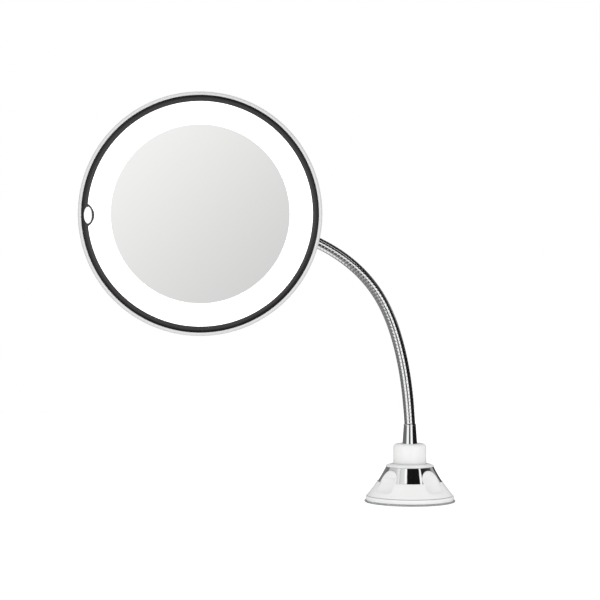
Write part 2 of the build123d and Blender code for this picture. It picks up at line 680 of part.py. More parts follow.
def dark_bezel():
    """Charcoal ring over the diffuser's edge, swelling into an eye round the power button."""
    outer, inner = (BEZEL_OUT, BEZEL_FRONT - 0.5), (BEZEL_IN, BEZEL_FRONT - 0.7)
    crown = ThreePointArc(outer, ((BEZEL_OUT + BEZEL_IN) / 2, BEZEL_FRONT), inner)
    sides = Polyline(inner, (BEZEL_IN, BEZEL_BACK), (BEZEL_OUT, BEZEL_BACK), outer)
    swelling = eye(0) & disc(BEZEL_OUT - 1.2, BEZEL_BACK, BEZEL_FRONT - 0.15)
    return turned(crown, sides) + swelling - button_prism(NEST, BEZEL_BACK - 1, FRONT + 1)


def diffuser_ring():
    """Opal ring that spreads the light, held at its edge by the bezel."""
    body = turned_polygon(
        (MIRROR_R + 0.25, DIFFUSER_BACK),
        (TROUGH_OUT - 0.2, DIFFUSER_BACK),
        (TROUGH_OUT - 0.2, SHELF_Z + 0.1),
        (DIFFUSER_OUT, SHELF_Z + 0.1),
        (DIFFUSER_OUT, BEZEL_BACK),
        (BEZEL_IN - 0.2, BEZEL_BACK),
        (BEZEL_IN - 0.2, DIFFUSER_FRONT),
        (MIRROR_R + 0.25, DIFFUSER_FRONT),
    )
    return body - eye(0.3)


def mirror_glass():
    """Concave magnifying glass with parallel faces."""
    front_mid = MIRROR_EDGE_Z - MIRROR_SAG
    half = MIRROR_R / 2
    half_z = front_mid + MIRROR_CURVE_R - math.sqrt(MIRROR_CURVE_R**2 - half**2)
    front = [(0, front_mid), (half, half_z), (MIRROR_R, MIRROR_EDGE_Z)]
    back = [(r, z - MIRROR_T) for r, z in reversed(front)]
    return turned(ThreePointArc(*front), Line(front[2], back[0]), ThreePointArc(*back), Line(back[2], front[0]))


def mirror_back_z(r):
    return MIRROR_EDGE_Z - MIRROR_SAG - MIRROR_T + MIRROR_CURVE_R - math.sqrt(MIRROR_CURVE_R**2 - r**2)


def mirror_pad():
    """Foam adhesive ring between the mirror and the tray."""
    r0, r1 = PAD_R
    z0, z1 = mirror_back_z(r0) - 0.05, mirror_back_z(r1) - 0.05
    return turned_polygon((r0, PAD_Z), (r1, PAD_Z), (r1, z1), (r0, z0))


PAD_Z = mirror_back_z(PAD_R[0]) - 1.0


def light_tray():
    """White reflector: a plate behind the mirror and a trough for the LED board round it."""
    floor_z = TROUGH_FLOOR - TRAY_WALL
    body = turned_polygon(
        (0, PLATE_FRONT - TRAY_PLATE_T),
        (TROUGH_IN - TRAY_WALL, PLATE_FRONT - TRAY_PLATE_T),
        (TROUGH_IN - TRAY_WALL, floor_z),
        (TROUGH_OUT + TRAY_WALL, floor_z),
        (TROUGH_OUT + TRAY_WALL, STEP_Z),
        (RIM_IN - 0.2, STEP_Z),
        (RIM_IN - 0.2, SHELF_Z),
        (TROUGH_OUT, SHELF_Z),
        (TROUGH_OUT, TROUGH_FLOOR),
        (TROUGH_IN, TROUGH_FLOOR),
        (TROUGH_IN, DIFFUSER_BACK - 0.05),
        (TROUGH_IN - TRAY_WALL, DIFFUSER_BACK - 0.05),
        (TROUGH_IN - TRAY_WALL, PLATE_FRONT),
        (PAD_R[1], PLATE_FRONT),
        (PAD_R[1], PAD_Z),
        (PAD_R[0], PAD_Z),
        (PAD_R[0], PLATE_FRONT),
        (0, PLATE_FRONT),
    )
    body -= eye(0.6) & disc(HEAD_R, STEP_Z - 0.3, FRONT)
    for x, y in shell_screws_at():
        body += Pos(x, y, 0) * disc(BOSS_R, TRAY_BOSS_Z, PLATE_FRONT - TRAY_PLATE_T)
        body -= Pos(x, y, 0) * disc(SCREW_R, TRAY_BOSS_Z - 1, PLATE_FRONT - 0.4)
    for x, y in board_wire_holes():
        body -= Pos(x, y, 0) * disc(WIRE_R + 0.3, floor_z - 1, TROUGH_FLOOR + 1)
    return body


def board_wire_holes():
    mid = (BOARD_IN + BOARD_OUT) / 2
    return [polar(mid, a) for a in (192, 197)]


def led_board():
    body = ring(BOARD_OUT, BOARD_IN, TROUGH_FLOOR, BOARD_TOP)
    for x, y in board_wire_holes():
        body -= Pos(x, y, 0) * disc(WIRE_R + 0.1, TROUGH_FLOOR - 1, BOARD_TOP + 1)
    return body


def led_chips():
    """LEDs round the board, with a gap where the switch sits."""
    length, width, height = LED_SIZE
    chip = Pos((BOARD_IN + BOARD_OUT) / 2, 0, BOARD_TOP + height / 2) * Box(width, length, height)
    step = 360 / LED_COUNT
    chips = []
    for i in range(LED_COUNT):
        if abs(i * step - 180) > 0.6 * step:
            chips.append(Rot(0, 0, i * step) * chip)
    return Compound(children=chips)


def power_button():
    """Oval key with a flange behind the bezel and a stem down to the switch."""
    cap = button_prism(0, BUTTON_FOOT, FRONT - 0.1)
    cap = fillet(cap.edges().group_by(Axis.Z)[-1], 0.5)
    flange = button_prism(0.7, BUTTON_FOOT - 0.8, BUTTON_FOOT) & disc(BEZEL_OUT - 0.3, 0, FRONT)
    stem = Pos(SWITCH_X, -BUTTON_DROP, 0) * disc(PLUNGER_R + 0.3, PLUNGER_TOP, BUTTON_FOOT - 0.5)
    return cap + flange + stem


def switch_body():
    w, h, t = SWITCH_SIZE
    body = Pos(SWITCH_X, -BUTTON_DROP, BOARD_TOP + t / 2) * Box(w, h, t)
    return body - Pos(SWITCH_X, -BUTTON_DROP, 0) * disc(PLUNGER_R + SLIP, BOARD_TOP + 0.8, SWITCH_TOP + 1)


def switch_plunger():
    foot = BOARD_TOP + 0.8 + BUTTON_TRAVEL + 0.2
    return Pos(SWITCH_X, -BUTTON_DROP, 0) * disc(PLUNGER_R, foot, PLUNGER_TOP)


# ---------------------------------------------------------------- batteries and door
def cell_rows():
    """Each cell's y and the side its positive end faces."""
    first = BAY_Y + (CELLS - 1) / 2 * CELL_PITCH
    return [(first - i * CELL_PITCH, 1 if i % 2 == 0 else -1) for i in range(CELLS)]


def battery(y, side):
    positive = side * (BAY_HALF_L - CONTACT_T - 0.05)
    shoulder = positive - side * CELL_NUB[1]
    end = positive - side * CELL_L
    body = x_rod(CELL_R, min(shoulder, end), max(shoulder, end), y, CELL_Z)
    return body + x_rod(CELL_NUB[0], min(shoulder, positive), max(shoulder, positive), y, CELL_Z)


def contact_springs():
    """Coil springs at the cells' negative ends."""
    springs = []
    length = 2 * BAY_HALF_L - 2 * CONTACT_T - CELL_L - 0.05 - 2 * SPRING_WIRE_R - 0.1
    for y, side in cell_rows():
        path = Helix(length / 3, length, SPRING_R)
        section = Plane(origin=path @ 0, z_dir=path % 0) * Circle(SPRING_WIRE_R)
        wire = sweep(section, path=path, is_frenet=True)
        start = -side * (BAY_HALF_L - CONTACT_T - SPRING_WIRE_R - 0.05)
        springs.append(Pos(start, y, CELL_Z) * (Rot(0, 90 * side, 0) * wire))
    return Compound(children=springs)


def contact_plates():
    """Nickel plates: one single and one bridging plate at each end of the bay."""
    rows = [y for y, _ in cell_rows()]
    half = 4.2
    spans = [(1, rows[0], rows[0]), (1, rows[2], rows[1]), (-1, rows[1], rows[0]), (-1, rows[2], rows[2])]
    plates = []
    for side, low, high in spans:
        x0, x1 = sorted((side * BAY_HALF_L, side * (BAY_HALF_L - CONTACT_T)))
        plates.append(block(x0, x1, low - half, high + half, CELL_Z - half, CELL_Z + half))
    return Compound(children=plates)


def battery_door():
    """Door that swings on two pivot pins at its inner edge."""
    gap = 0.25
    half_l = BAY_HALF_L - gap
    plate = block(-half_l, half_l, DOOR_END_Y + gap, HINGE_Y, SHELL_BACK, SHELL_BACK + DOOR_T)
    barrel = x_rod(DOOR_BARREL_R, -half_l, half_l, HINGE_Y, HINGE_Z)
    pins = x_rod(DOOR_PIN_R, -BAY_HALF_L - DOOR_PIN_L, BAY_HALF_L + DOOR_PIN_L, HINGE_Y, HINGE_Z)
    grooves = [DOOR_END_Y + 3.2 + i * 1.8 for i in range(4)]
    grip = [block(-9, 9, y, y + 0.8, SHELL_BACK, SHELL_BACK + 0.5) for y in grooves]
    return plate + barrel + pins - grip


def wire(points, radii):
    path = FilletPolyline(*points, radius=radii)
    return sweep(Plane(origin=path @ 0, z_dir=path % 0) * Circle(WIRE_R), path=path)


def wire_route(n):
    """Battery contact, out through the bay's end wall, across to the trough and up to the LED board."""
    x, y = wire_holes()[n]
    bx, by = board_wire_holes()[n]
    z = CELL_Z + 3.6
    low = SHELL_IN + 3.5 + 2 * n
    start = [(x, y, z), (x - 9, y, z), (x - 20, y + 5, low)]
    return start + [(bx, by - 8 + 3 * n, low), (bx, by, low + 4), (bx, by, BOARD_TOP)]


# ---------------------------------------------------------------- fasteners
def shell_screws():
    one = screw(TRAY_BOSS_Z - SHELL_BACK - SCREW_HEAD_T + 3.2)
    return Compound(children=[Pos(x, y, SHELL_BACK + SCREW_HEAD_T) * one for x, y in shell_screws_at()])


def socket_screws():
    one = screw(6.0)
    return Compound(children=[Pos(x, y, SHELL_BACK - 1.0) * one for x, y in socket_screws_at()])


# ---------------------------------------------------------------- assembly
def main():
    os.makedirs("parts", exist_ok=True)
    hinges = neck_hinges()
    ball = hinges[-1] + heading(LEAN[-1], YAW[-1]) * STEM_L

    for make in (
        suction_cup,
        base_housing,
        lock_knob,
        chrome_cone,
        shoulder_ring,
        cam_sleeve,
        pull_stud,
        cam_pin,
        neck_cap,
        lower_ferrule,
    ):
        write(make.__name__, make())

    link = neck_link()
    for i, point in enumerate(hinges[:-1]):
        write(f"neck_link_{i + 1:02d}", along(point, heading(LEAN[i], YAW[i]), link))
    for make in (upper_ferrule, ball_stud):
        write(make.__name__, along(hinges[-1], heading(LEAN[-1], YAW[-1]), make()))

    head = Plane(origin=ball, x_dir=(1, 0, 0), z_dir=(0, -1, 0)).location
    for make in (
        ball_seat,
        friction_ring,
        socket_collar,
        socket_base,
        socket_screws,
        rear_shell,
        shell_screws,
        front_rim,
        dark_bezel,
        diffuser_ring,
        mirror_glass,
        mirror_pad,
        light_tray,
        led_board,
        led_chips,
        power_button,
        switch_body,
        switch_plunger,
        contact_springs,
        contact_plates,
        battery_door,
    ):
        write(make.__name__, head * make())
    for i, (y, side) in enumerate(cell_rows()):
        write(f"battery_{i + 1}", head * battery(y, side))
    for i, colour in enumerate(("red", "black")):
        points = wire_route(i)
        write(f"wire_{colour}", head * wire(points, [3.0] * (len(points) - 2)))

    print("ball centre", ball)
    print("hinges", *[f"({p.X:.3f}, {p.Y:.3f}, {p.Z:.3f})" for p in hinges])


main()
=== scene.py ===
"""Looks for the flexible-neck shaving mirror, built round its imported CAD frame. Metres, +Z up, mirror facing -Y."""

import json
import math

import bmesh
import bpy
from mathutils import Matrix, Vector

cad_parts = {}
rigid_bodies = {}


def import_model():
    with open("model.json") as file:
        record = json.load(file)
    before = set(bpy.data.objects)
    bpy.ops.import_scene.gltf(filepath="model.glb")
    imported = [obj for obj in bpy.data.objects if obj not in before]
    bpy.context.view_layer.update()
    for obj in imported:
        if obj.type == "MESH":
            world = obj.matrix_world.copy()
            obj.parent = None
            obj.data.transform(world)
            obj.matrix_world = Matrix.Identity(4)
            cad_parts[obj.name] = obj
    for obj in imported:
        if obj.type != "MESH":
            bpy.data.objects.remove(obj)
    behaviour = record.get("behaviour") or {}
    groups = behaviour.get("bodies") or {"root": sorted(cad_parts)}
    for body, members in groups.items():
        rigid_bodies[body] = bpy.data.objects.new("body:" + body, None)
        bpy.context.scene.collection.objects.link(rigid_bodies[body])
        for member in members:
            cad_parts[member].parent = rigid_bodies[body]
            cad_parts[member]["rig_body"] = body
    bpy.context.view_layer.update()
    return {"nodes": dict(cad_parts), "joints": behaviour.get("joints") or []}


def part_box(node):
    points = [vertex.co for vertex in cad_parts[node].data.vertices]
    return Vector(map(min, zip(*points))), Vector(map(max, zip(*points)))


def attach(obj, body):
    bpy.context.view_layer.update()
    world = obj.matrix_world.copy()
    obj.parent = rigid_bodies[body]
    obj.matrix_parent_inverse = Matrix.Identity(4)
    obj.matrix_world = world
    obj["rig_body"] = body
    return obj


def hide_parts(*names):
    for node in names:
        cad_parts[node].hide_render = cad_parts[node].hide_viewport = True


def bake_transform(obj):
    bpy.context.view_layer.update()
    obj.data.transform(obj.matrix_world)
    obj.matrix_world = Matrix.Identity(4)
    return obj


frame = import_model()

MM = 0.001
JOINTS = {j["name"]: j for j in frame["joints"]}
BALL = Vector(JOINTS["head_pan"]["pos_m"])
NECK_HINGES = [Vector(j["pos_m"]) for j in frame["joints"] if j["name"].startswith("neck_")]
NECK_BODIES = ["puller"] + [j["child"] for j in frame["joints"] if j["name"].startswith("neck_")]
HEAD_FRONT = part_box("front_rim")[0].y  # the head faces -Y, so its front is its lowest y


# ---------------------------------------------------------------- material helpers
class Tree:
    """Adds and links shader nodes with short calls."""

    def __init__(self, owner):
        owner.use_nodes = True
        self.tree = owner.node_tree
        self.tree.nodes.clear()

    @classmethod
    def over(cls, owner):
        """Goes on with an owner's tree as it stands."""
        made = cls.__new__(cls)
        made.tree = owner.node_tree
        return made

    def node(self, kind, inputs=(), **settings):
        made = self.tree.nodes.new("ShaderNode" + kind)
        for key, value in settings.items():
            setattr(made, key, value)
        for key, value in dict(inputs).items():
            self.put(value, made.inputs[key])
        return made

    def put(self, value, socket):
        if isinstance(value, bpy.types.NodeSocket):
            self.tree.links.new(value, socket)
        else:
            socket.default_value = value

    def math(self, operation, *values, clamp=False):
        made = self.tree.nodes.new("ShaderNodeMath")
        made.operation = operation
        made.use_clamp = clamp
        for value, socket in zip(values, made.inputs):
            self.put(value, socket)
        return made.outputs[0]

    def ramp(self, value, low, high, out_low=0.0, out_high=1.0):
        made = self.node(
            "MapRange",
            {"Value": value, "From Min": low, "From Max": high, "To Min": out_low, "To Max": out_high},
            interpolation_type="SMOOTHSTEP",
        )
        return made.outputs[0]

    def noise(self, vector, scale, detail=3.0, roughness=0.5):
        return self.node("TexNoise", {"Vector": vector, "Scale": scale, "Detail": detail, "Roughness": roughness}).outputs["Fac"]

    def mix(self, factor, a, b):
        made = self.node("Mix", data_type="RGBA")
        for value, socket in ((factor, made.inputs[0]), (a, made.inputs[6]), (b, made.inputs[7])):
            self.put(value, socket)
        return made.outputs[2]


def tint(colour, factor):
    return tuple(min(1.0, c * factor) for c in colour[:3]) + (1.0,)


def surface(
    name,
    colour,
    roughness,
    metallic=0.0,
    vary=0.03,
    vary_scale=60.0,
    rough_vary=0.15,
    grain=0.0,
    grain_scale=1500.0,
    stretch=(1, 1, 1),
    painted_crevice_shade=None,
    **sockets,
):
    """A procedural material: cloudy colour and roughness, a fine grain in the bump, and, when a crevice pair (distance,
    factor) is given, painted shade: the colour darkened in crevices by ambient occlusion.
    """
    made = bpy.data.materials.new(name)
    t = Tree(made)
    coord = t.node("TexCoord").outputs["Object"]
    spread = t.node("Mapping", {"Vector": coord, "Scale": stretch}).outputs[0]
    cloud = t.noise(coord, vary_scale, 4.0)
    base = t.mix(cloud, tint(colour, 1 - vary), tint(colour, 1 + vary))
    # Painted shade: ambient occlusion darkens the base colour in crevices and between parts.
    if painted_crevice_shade:
        crevice = t.node("AmbientOcclusion", {"Distance": painted_crevice_shade[0]}, samples=16).outputs["AO"]
        base = t.mix(t.ramp(crevice, 0.25, 0.85), tint(colour, painted_crevice_shade[1]), base)
    fine = t.noise(spread, grain_scale, 2.0, 0.6)
    rough = t.ramp(t.noise(spread, vary_scale * 4, 3.0), 0.3, 0.7, roughness * (1 - rough_vary), roughness * (1 + rough_vary))
    shader = t.node("BsdfPrincipled", {"Base Color": base, "Metallic": metallic, "Roughness": rough, **sockets})
    if grain:
        bump = t.node("Bump", {"Height": fine, "Strength": 0.5, "Distance": grain})
        t.put(bump.outputs[0], shader.inputs["Normal"])
    out = t.node("OutputMaterial")
    t.put(shader.outputs[0], out.inputs["Surface"])
    made["shader"] = shader.name
    return made


# ---------------------------------------------------------------- materials
# Materials below given a crevice (distance, factor) pair get that painted shade in their crevices.
WHITE = surface(
    "white_abs", (0.83, 0.83, 0.825), 0.34, vary=0.012, vary_scale=25, grain=4e-5, grain_scale=2200,
    painted_crevice_shade=(0.004, 0.8), **{"Specular IOR Level": 0.45, "Coat Weight": 0.15, "Coat Roughness": 0.2}
)
WHITE_TEXTURED = surface(
    "white_abs_textured", (0.8, 0.8, 0.795), 0.5, vary=0.015, vary_scale=30, grain=9e-5, grain_scale=1700,
    painted_crevice_shade=(0.004, 0.78), **{"Specular IOR Level": 0.4}
)
# Painted glow: a faint white emission brightens the power button, which gives no light of its own.
BUTTON_PAINTED_GLOW = surface(
    "button_white_painted_glow", (0.95, 0.95, 0.945), 0.34, vary=0.01, vary_scale=60, grain=3e-5, grain_scale=2600,
    **{"Specular IOR Level": 0.45, "Coat Weight": 0.15, "Coat Roughness": 0.2, "Emission Color": (1, 1, 1, 1), "Emission Strength": 0.06}
)
CHROME = surface(
    "chrome", (0.86, 0.865, 0.87), 0.05, metallic=1.0, vary=0.015, rough_vary=0.4, grain=6e-6, grain_scale=700,
    stretch=(1, 1, 0.08)
)
NECK_METAL = surface(
    "neck_metal", (0.88, 0.885, 0.89), 0.07, metallic=1.0, vary=0.05, vary_scale=180, rough_vary=0.35, grain=1.0e-5,
    grain_scale=1800, painted_crevice_shade=(0.0005, 0.8)
)
NYLON = surface("nylon", (0.75, 0.74, 0.7), 0.45, grain=3e-5, **{"Subsurface Weight": 0.1, "Subsurface Radius": (0.002, 0.002, 0.002)})
STEEL = surface("zinc_steel", (0.55, 0.56, 0.57), 0.28, metallic=1.0, vary=0.08, vary_scale=400, grain=1e-5, painted_crevice_shade=(0.001, 0.3))
NICKEL = surface("nickel", (0.66, 0.63, 0.58), 0.22, metallic=1.0, vary=0.08, vary_scale=300, grain=1e-5)
FOAM = surface("foam", (0.78, 0.78, 0.75), 0.9, vary=0.08, vary_scale=800, grain=2e-4, grain_scale=1200)
BOARD = surface("solder_mask", (0.75, 0.77, 0.75), 0.4, vary=0.05, grain=2e-5)
LED = surface("led_phosphor", (0.85, 0.72, 0.3), 0.5, vary=0.1, vary_scale=900, **{"Emission Color": (1, 0.93, 0.8, 1), "Emission Strength": 2.0})
RED = surface("red_sleeve", (0.5, 0.02, 0.02), 0.45, grain=2e-5)
BLACK = surface("black_sleeve", (0.02, 0.02, 0.02), 0.45, grain=2e-5)


def from_head_axis(t):
    """Distance from the head's own axis, at rest."""
    coord = t.node("TexCoord").outputs["Object"]
    local = t.node("VectorMath", {0: coord, 1: BALL}, operation="SUBTRACT").outputs[0]
    flat = t.node("VectorMath", {0: local, 1: (1, 0, 1)}, operation="MULTIPLY").outputs[0]
    return t.node("VectorMath", {0: flat}, operation="LENGTH").outputs["Value"]


def soft_pvc():
    """Translucent vinyl: mostly clear, a little milky, with a faint cloudy variation."""
    made = surface(
        "clear_pvc", (0.68, 0.7, 0.71), 0.12, vary=0.06, vary_scale=120, grain=3e-5, grain_scale=900,
        **{"Transmission Weight": 0.62, "IOR": 1.5, "Specular IOR Level": 0.5, "Subsurface Weight": 0.2,
           "Subsurface Radius": (0.004, 0.004, 0.004)}
    )
    return made


def bezel_gloss():
    """Charcoal band with painted shade: its colour deepens to black towards its outer edge, standing in for the shadow
    in the gap to the rim.
    """
    made = bpy.data.materials.new("charcoal_gloss")
    t = Tree(made)
    coord = t.node("TexCoord").outputs["Object"]
    low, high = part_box("dark_bezel")
    outer = (high.x - low.x) / 2
    radius = from_head_axis(t)
    # Painted shade: the colour darkens to near black over the band's outer few millimetres.
    level = t.ramp(radius, outer - 3.6 * MM, outer - 0.4 * MM)
    colour = t.mix(level, (0.046, 0.043, 0.043, 1), (0.007, 0.007, 0.007, 1))
    cloud = t.noise(coord, 60, 3.0)
    colour = t.mix(t.ramp(cloud, 0.3, 0.7, 0.0, 0.12), colour, (0.06, 0.055, 0.055, 1))
    rough = t.ramp(t.noise(coord, 400, 3.0), 0.3, 0.7, 0.2, 0.28)
    shader = t.node("BsdfPrincipled", {"Base Color": colour, "Roughness": rough, "Specular IOR Level": 0.25})
    bump = t.node("Bump", {"Height": t.noise(coord, 2400, 2.0), "Strength": 0.5, "Distance": 1.5e-5})
    t.put(bump.outputs[0], shader.inputs["Normal"])
    t.put(shader.outputs[0], t.node("OutputMaterial").inputs["Surface"])
    return made


def rim_white():
    """Pearly white moulding with painted shade: greyer round its rolled outer edge, where that edge turns away from the
    light.
    """
    made = surface(
        "casing_abs", (0.68, 0.68, 0.68), 0.36, vary=0.012, vary_scale=25, grain=4e-5, grain_scale=2200,
        painted_crevice_shade=(0.003, 0.85), **{"Specular IOR Level": 0.4, "Coat Weight": 0.1, "Coat Roughness": 0.2}
    )
    t = Tree.over(made)
    shader = made.node_tree.nodes[made["shader"]]
    low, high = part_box("front_rim")
    radius = from_head_axis(t)
    # Painted shade: the colour greys over the outer 1.6 mm of the rim, where its rolled edge turns away from the light.
    painted_edge_shade = t.ramp(radius, (high.x - low.x) / 2 - 1.6 * MM, (high.x - low.x) / 2, 0.0, 0.3)
    plain = shader.inputs["Base Color"].links[0].from_socket
    t.put(t.mix(painted_edge_shade, plain, (0.3, 0.3, 0.305, 1)), shader.inputs["Base Color"])
    return made


def opal_light():
    """Diffuser lit from behind: white, a touch brighter over each LED."""
    made = bpy.data.materials.new("opal_lit")
    t = Tree(made)
    coord = t.node("TexCoord").outputs["Object"]
    local = t.node("VectorMath", {0: coord, 1: BALL}, operation="SUBTRACT").outputs[0]
    xyz = t.node("SeparateXYZ", {0: local})
    angle = t.math("ARCTAN2", xyz.outputs[2], xyz.outputs[0])
    spots = t.math("COSINE", t.math("MULTIPLY", angle, 28.0))
    level = t.ramp(spots, -1.0, 1.0, 1.0, 1.08)
    cloud = t.noise(coord, 200, 2.0)
    colour = t.mix(cloud, (0.97, 0.975, 0.98, 1), (1, 1, 1, 1))
    shader = t.node(
        "BsdfPrincipled",
        {"Base Color": colour, "Roughness": 0.4, "Emission Color": colour, "Emission Strength": level},
    )
    t.put(shader.outputs[0], t.node("OutputMaterial").inputs["Surface"])
    return made


def silvered():
    """Mirror glass: silver behind a clear polished face, with the faintest unevenness."""
    return surface("silvered_glass", (0.93, 0.925, 0.92), 0.03, metallic=1.0, vary=0.004, vary_scale=8, rough_vary=0.2,
                   **{"Coat Weight": 0.3, "Coat Roughness": 0.02})


def cell_wrap(node, end):
    """Battery wrap: dark green can with a copper-coloured band and a thin cream line at the positive end (end is +1 or -1 in x)."""
    low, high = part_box(node)
    made = bpy.data.materials.new(node + "_wrap")
    t = Tree(made)
    coord = t.node("TexCoord").outputs["Object"]
    x = t.node("SeparateXYZ", {0: coord}).outputs[0]
    tip = high.x if end > 0 else low.x
    back = t.math("MULTIPLY", t.math("SUBTRACT", tip, x), float(end))
    cloud = t.noise(coord, 300, 3.0)
    green = t.mix(cloud, (0.012, 0.085, 0.05, 1), (0.02, 0.12, 0.07, 1))
    copper = t.mix(cloud, (0.5, 0.22, 0.1, 1), (0.62, 0.3, 0.15, 1))
    band = t.math("LESS_THAN", back, 11.0 * MM)
    line = t.math("LESS_THAN", t.math("ABSOLUTE", t.math("SUBTRACT", back, 12.2 * MM)), 0.5 * MM)
    colour = t.mix(line, t.mix(band, green, copper), (0.7, 0.66, 0.5, 1))
    rough = t.ramp(t.noise(coord, 900, 2.0), 0.3, 0.7, 0.22, 0.34)
    shader = t.node("BsdfPrincipled", {"Base Color": colour, "Roughness": rough, "Metallic": 0.0, "Coat Weight": 0.5, "Coat Roughness": 0.1})
    bump = t.node("Bump", {"Height": t.noise(coord, 1600, 2.0), "Strength": 0.4, "Distance": 1e-5})
    t.put(bump.outputs[0], shader.inputs["Normal"])
    t.put(shader.outputs[0], t.node("OutputMaterial").inputs["Surface"])
    return made


PVC, OPAL, MIRROR, BEZEL, PEARL = soft_pvc(), opal_light(), silvered(), bezel_gloss(), rim_white()

FINISHES = {
    WHITE: ("base_housing", "lock_knob", "shoulder_ring", "neck_cap", "front_rim"),
    BUTTON_PAINTED_GLOW: ("power_button",),
    WHITE_TEXTURED: ("rear_shell", "battery_door", "socket_base", "socket_collar", "light_tray"),
    CHROME: ("chrome_cone", "lower_ferrule", "upper_ferrule", "ball_stud"),
    BEZEL: ("dark_bezel", "switch_body"),
    OPAL: ("diffuser_ring",),
    MIRROR: ("mirror_glass",),
    NYLON: ("cam_sleeve", "pull_stud", "ball_seat", "friction_ring", "switch_plunger"),
    STEEL: ("cam_pin", "socket_screws", "shell_screws"),
    NICKEL: ("contact_springs", "contact_plates"),
    FOAM: ("mirror_pad",),
    BOARD: ("led_board",),
    LED: ("led_chips",),
    RED: ("wire_red",),
    BLACK: ("wire_black",),
}


def dress(obj, material):
    obj.data.materials.clear()
    obj.data.materials.append(material)


for finish, nodes in FINISHES.items():
    for node in nodes:
        dress(frame["nodes"][node], finish)
for number, end in ((1, 1), (2, -1), (3, 1)):
    dress(frame["nodes"][f"battery_{number}"], cell_wrap(f"battery_{number}", end))


# ---------------------------------------------------------------- mesh helpers
def new_object(name, mesh, material, body=None):
    obj = bpy.data.objects.new(name, mesh)
    bpy.context.scene.collection.objects.link(obj)
    dress(obj, material)
    if body:
        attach(obj, body)
    return obj


def smooth(mesh, degrees=35):
    for face in mesh.polygons:
        face.use_smooth = True
    mesh.set_sharp_from_angle(angle=math.radians(degrees))


def lathe(name, profile, centre, axis, segments=128, degrees=30):
    """A closed solid turned about axis through centre from (radius, height) points, in millimetres; radius 0 closes on the axis."""
    axis = Vector(axis).normalized()
    side = axis.orthogonal().normalized()
    other = axis.cross(side)
    bm = bmesh.new()
    rings = []
    for r, h in profile:
        middle = Vector(centre) + axis * h * MM
        if r <= 0:
            rings.append([bm.verts.new(middle)] * segments)
            continue
        ring = []
        for i in range(segments):
            a = 2 * math.pi * i / segments
            ring.append(bm.verts.new(middle + (side * math.cos(a) + other * math.sin(a)) * r * MM))
        rings.append(ring)
    closed = profile[0][0] > 0
    for k in range(len(rings) if closed else len(rings) - 1):
        low, high = rings[k], rings[(k + 1) % len(rings)]
        for i in range(segments):
            corners = [low[i], low[(i + 1) % segments], high[(i + 1) % segments], high[i]]
            unique = [v for n, v in enumerate(corners) if v not in corners[:n]]
            if len(unique) > 2:
                bm.faces.new(unique)
    bmesh.ops.recalc_face_normals(bm, faces=bm.faces)
    mesh = bpy.data.meshes.new(name)
    bm.to_mesh(mesh)
    bm.free()
    smooth(mesh, degrees)
    return mesh


def rounded(points, radius, steps=4):
    """A (radius, height) outline with its corners rounded; each point may carry its own radius."""
    out = []
    count = len(points)
    for i, point in enumerate(points):
        r = point[2] if len(point) > 2 else radius
        p = Vector(point[:2])
        before, after = Vector(points[i - 1][:2]) - p, Vector(points[(i + 1) % count][:2]) - p
        if r <= 0 or i in (0, count - 1) and points[0][0] <= 0:
            out.append(tuple(p))
            continue
        turn = before.angle(after)
        reach = min(r / math.tan(turn / 2), before.length * 0.45, after.length * 0.45)
        a, b = p + before.normalized() * reach, p + after.normalized() * reach
        for k in range(steps + 1):
            s = k / steps
            out.append(tuple(a * (1 - s) ** 2 + p * 2 * s * (1 - s) + b * s * s))
    return out


def softened(node, width, material, degrees=28, segments=2):
    """A copy of a CAD node whose sharp edges are rounded; it stands for the node."""
    source = frame["nodes"][node]
    bm = bmesh.new()
    bm.from_mesh(source.data)
    bmesh.ops.remove_doubles(bm, verts=bm.verts, dist=2e-6)
    bmesh.ops.dissolve_limit(bm, angle_limit=math.radians(0.3), verts=bm.verts, edges=bm.edges)
    mesh = bpy.data.meshes.new(node + "_soft")
    bm.to_mesh(mesh)
    bm.free()
    obj = new_object(node + "_shown", mesh, material)
    bevel = obj.modifiers.new("round", "BEVEL")
    bevel.width, bevel.segments, bevel.limit_method, bevel.angle_limit = width * MM, segments, "ANGLE", math.radians(degrees)
    bevel.use_clamp_overlap = True
    final = bpy.data.meshes.new_from_object(obj.evaluated_get(bpy.context.evaluated_depsgraph_get()))
    obj.modifiers.clear()
    obj.data = final
    smooth(final, 40)
    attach(obj, source["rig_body"])
    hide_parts(node)
    return obj


# ---------------------------------------------------------------- gooseneck
NECK_R = 4.25
PITCH = 2.83  # one turn of the wire
CROWN = 0.03
GROOVE = 0.09
GROOVE_FROM = 0.9  # share of the half turn where the groove begins
TURN_STEPS = (0.0, 0.02, 0.045, 0.08, 0.3, 0.5, 0.7, 0.92, 0.955, 0.98)
AROUND = 44
SLEEVE_REACH = 3.0  # how far the wire runs into the upper sleeve


